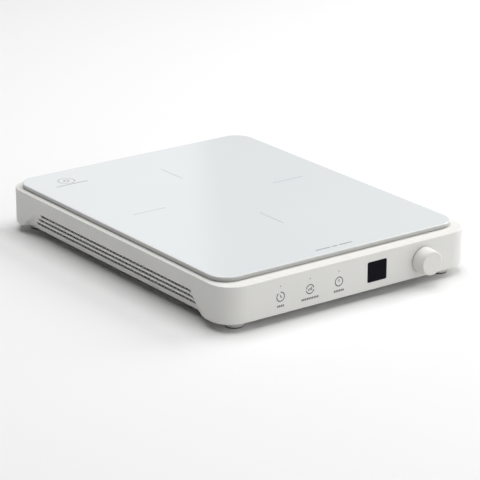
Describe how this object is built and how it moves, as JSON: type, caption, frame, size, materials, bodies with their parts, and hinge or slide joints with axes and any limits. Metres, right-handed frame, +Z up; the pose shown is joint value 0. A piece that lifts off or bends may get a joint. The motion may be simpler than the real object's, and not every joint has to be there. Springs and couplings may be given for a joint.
{
  "type": "portable induction cooktop",
  "caption": "Slim rectangular tabletop cooker: a white glass plate on a plastic case with vented sides, touch marks, a small display and a turning knob.",
  "frame": {"origin": "on the table, under the middle of the box round the whole object", "axes": "+Z up, the control face looks along -Y, +X to the right of someone facing the controls"},
  "size_m": [0.2776, 0.371, 0.047],
  "materials": {
    "housing_plastic": "fine matte, off-white",
    "base_plastic": "fine matte, light grey",
    "guard_plastic": "matte, light grey",
    "knob_plastic": "satin, off-white",
    "white_glass": "polished, white enamel under the surface",
    "seal_rubber": "matte grey silicone",
    "foot_rubber": "matte dark rubber",
    "gland_plastic": "matte, light grey",
    "display_black": "smooth dark lens",
    "clear_plastic": "milky, light-guiding",
    "steel": "zinc plated",
    "aluminium": "extruded",
    "brass": "plain",
    "copper": "enamelled stranded wire",
    "circuit_board": "green solder mask",
    "component_black": "moulded epoxy",
    "component_blue": "potted film capacitor",
    "component_yellow": "taped winding",
    "component_metal": "plated can",
    "ceramic_white": "smooth tube",
    "fan_plastic": "moulded black",
    "carrier_plastic": "heat-resistant moulding",
    "ferrite": "sintered, dark grey",
    "mica": "pressed mica sheet",
    "wire_white": "silicone insulation",
    "wire_brown": "insulation",
    "wire_blue": "insulation",
    "wire_red": "insulation",
    "wire_grey": "ribbon insulation"
  },
  "bodies": {
    "cooktop": {"base_plate": "base_plastic", "base_screws": "steel", "board_terminals": "brass", "bridge_rectifier": "component_black", "buzzer": "component_black", "coil_carrier": "carrier_plastic", "coil_lead_left": "wire_white", "coil_lead_right": "wire_white", "coil_screws": "steel", "coil_winding": "copper", "control_board": "circuit_board", "control_board_screws": "steel", "control_ribbon": "wire_grey", "controller_chip": "component_black", "cord_gland": "gland_plastic", "display_module": "component_black", "display_window": "display_black", "electrolytic_capacitor": "component_black", "encoder_body": "component_metal", "fan_frame": "fan_plastic", "fan_lead": "wire_red", "fan_screws": "steel", "ferrite_bar_1": "ferrite", "ferrite_bar_2": "ferrite", "ferrite_bar_3": "ferrite", "ferrite_bar_4": "ferrite", "filter_capacitor": "component_blue", "foot_pad_front_left": "foot_rubber", "foot_pad_front_right": "foot_rubber", "foot_pad_rear_left": "foot_rubber", "foot_pad_rear_right": "foot_rubber", "glass_plate": "white_glass", "glass_seal": "seal_rubber", "heat_sink": "aluminium", "input_choke": "copper", "led_light_guide": "clear_plastic", "main_board": "circuit_board", "main_board_screws": "steel", "main_fuse": "ceramic_white", "mica_sheet": "mica", "power_transistor": "component_black", "resonance_capacitor": "component_blue", "sensor_holder": "seal_rubber", "sensor_lead": "wire_white", "supply_lead_live": "wire_brown", "supply_lead_neutral": "wire_blue", "supply_transformer": "component_yellow", "temperature_sensor": "component_metal", "terminal_block": "carrier_plastic", "touch_spring_mode": "steel", "touch_spring_power": "steel", "touch_spring_timer": "steel", "upper_housing": "housing_plastic", "vent_guard_left": "guard_plastic", "vent_guard_right": "guard_plastic"},
    "dial": {"control_knob": "knob_plastic", "encoder_shaft": "aluminium"},
    "fan": {"fan_rotor": "fan_plastic"}
  },
  "joints": [
    {"name": "dial_turn", "type": "hinge", "parent": "cooktop", "child": "dial", "pos_m": [0.0805, -0.1785, 0.0242], "axis": [0, 1, 0], "continuous": true},
    {"name": "fan_spin", "type": "hinge", "parent": "cooktop", "child": "fan", "pos_m": [-0.088, -0.1065, 0.02], "axis": [0, 0, 1], "continuous": true}
  ]
}
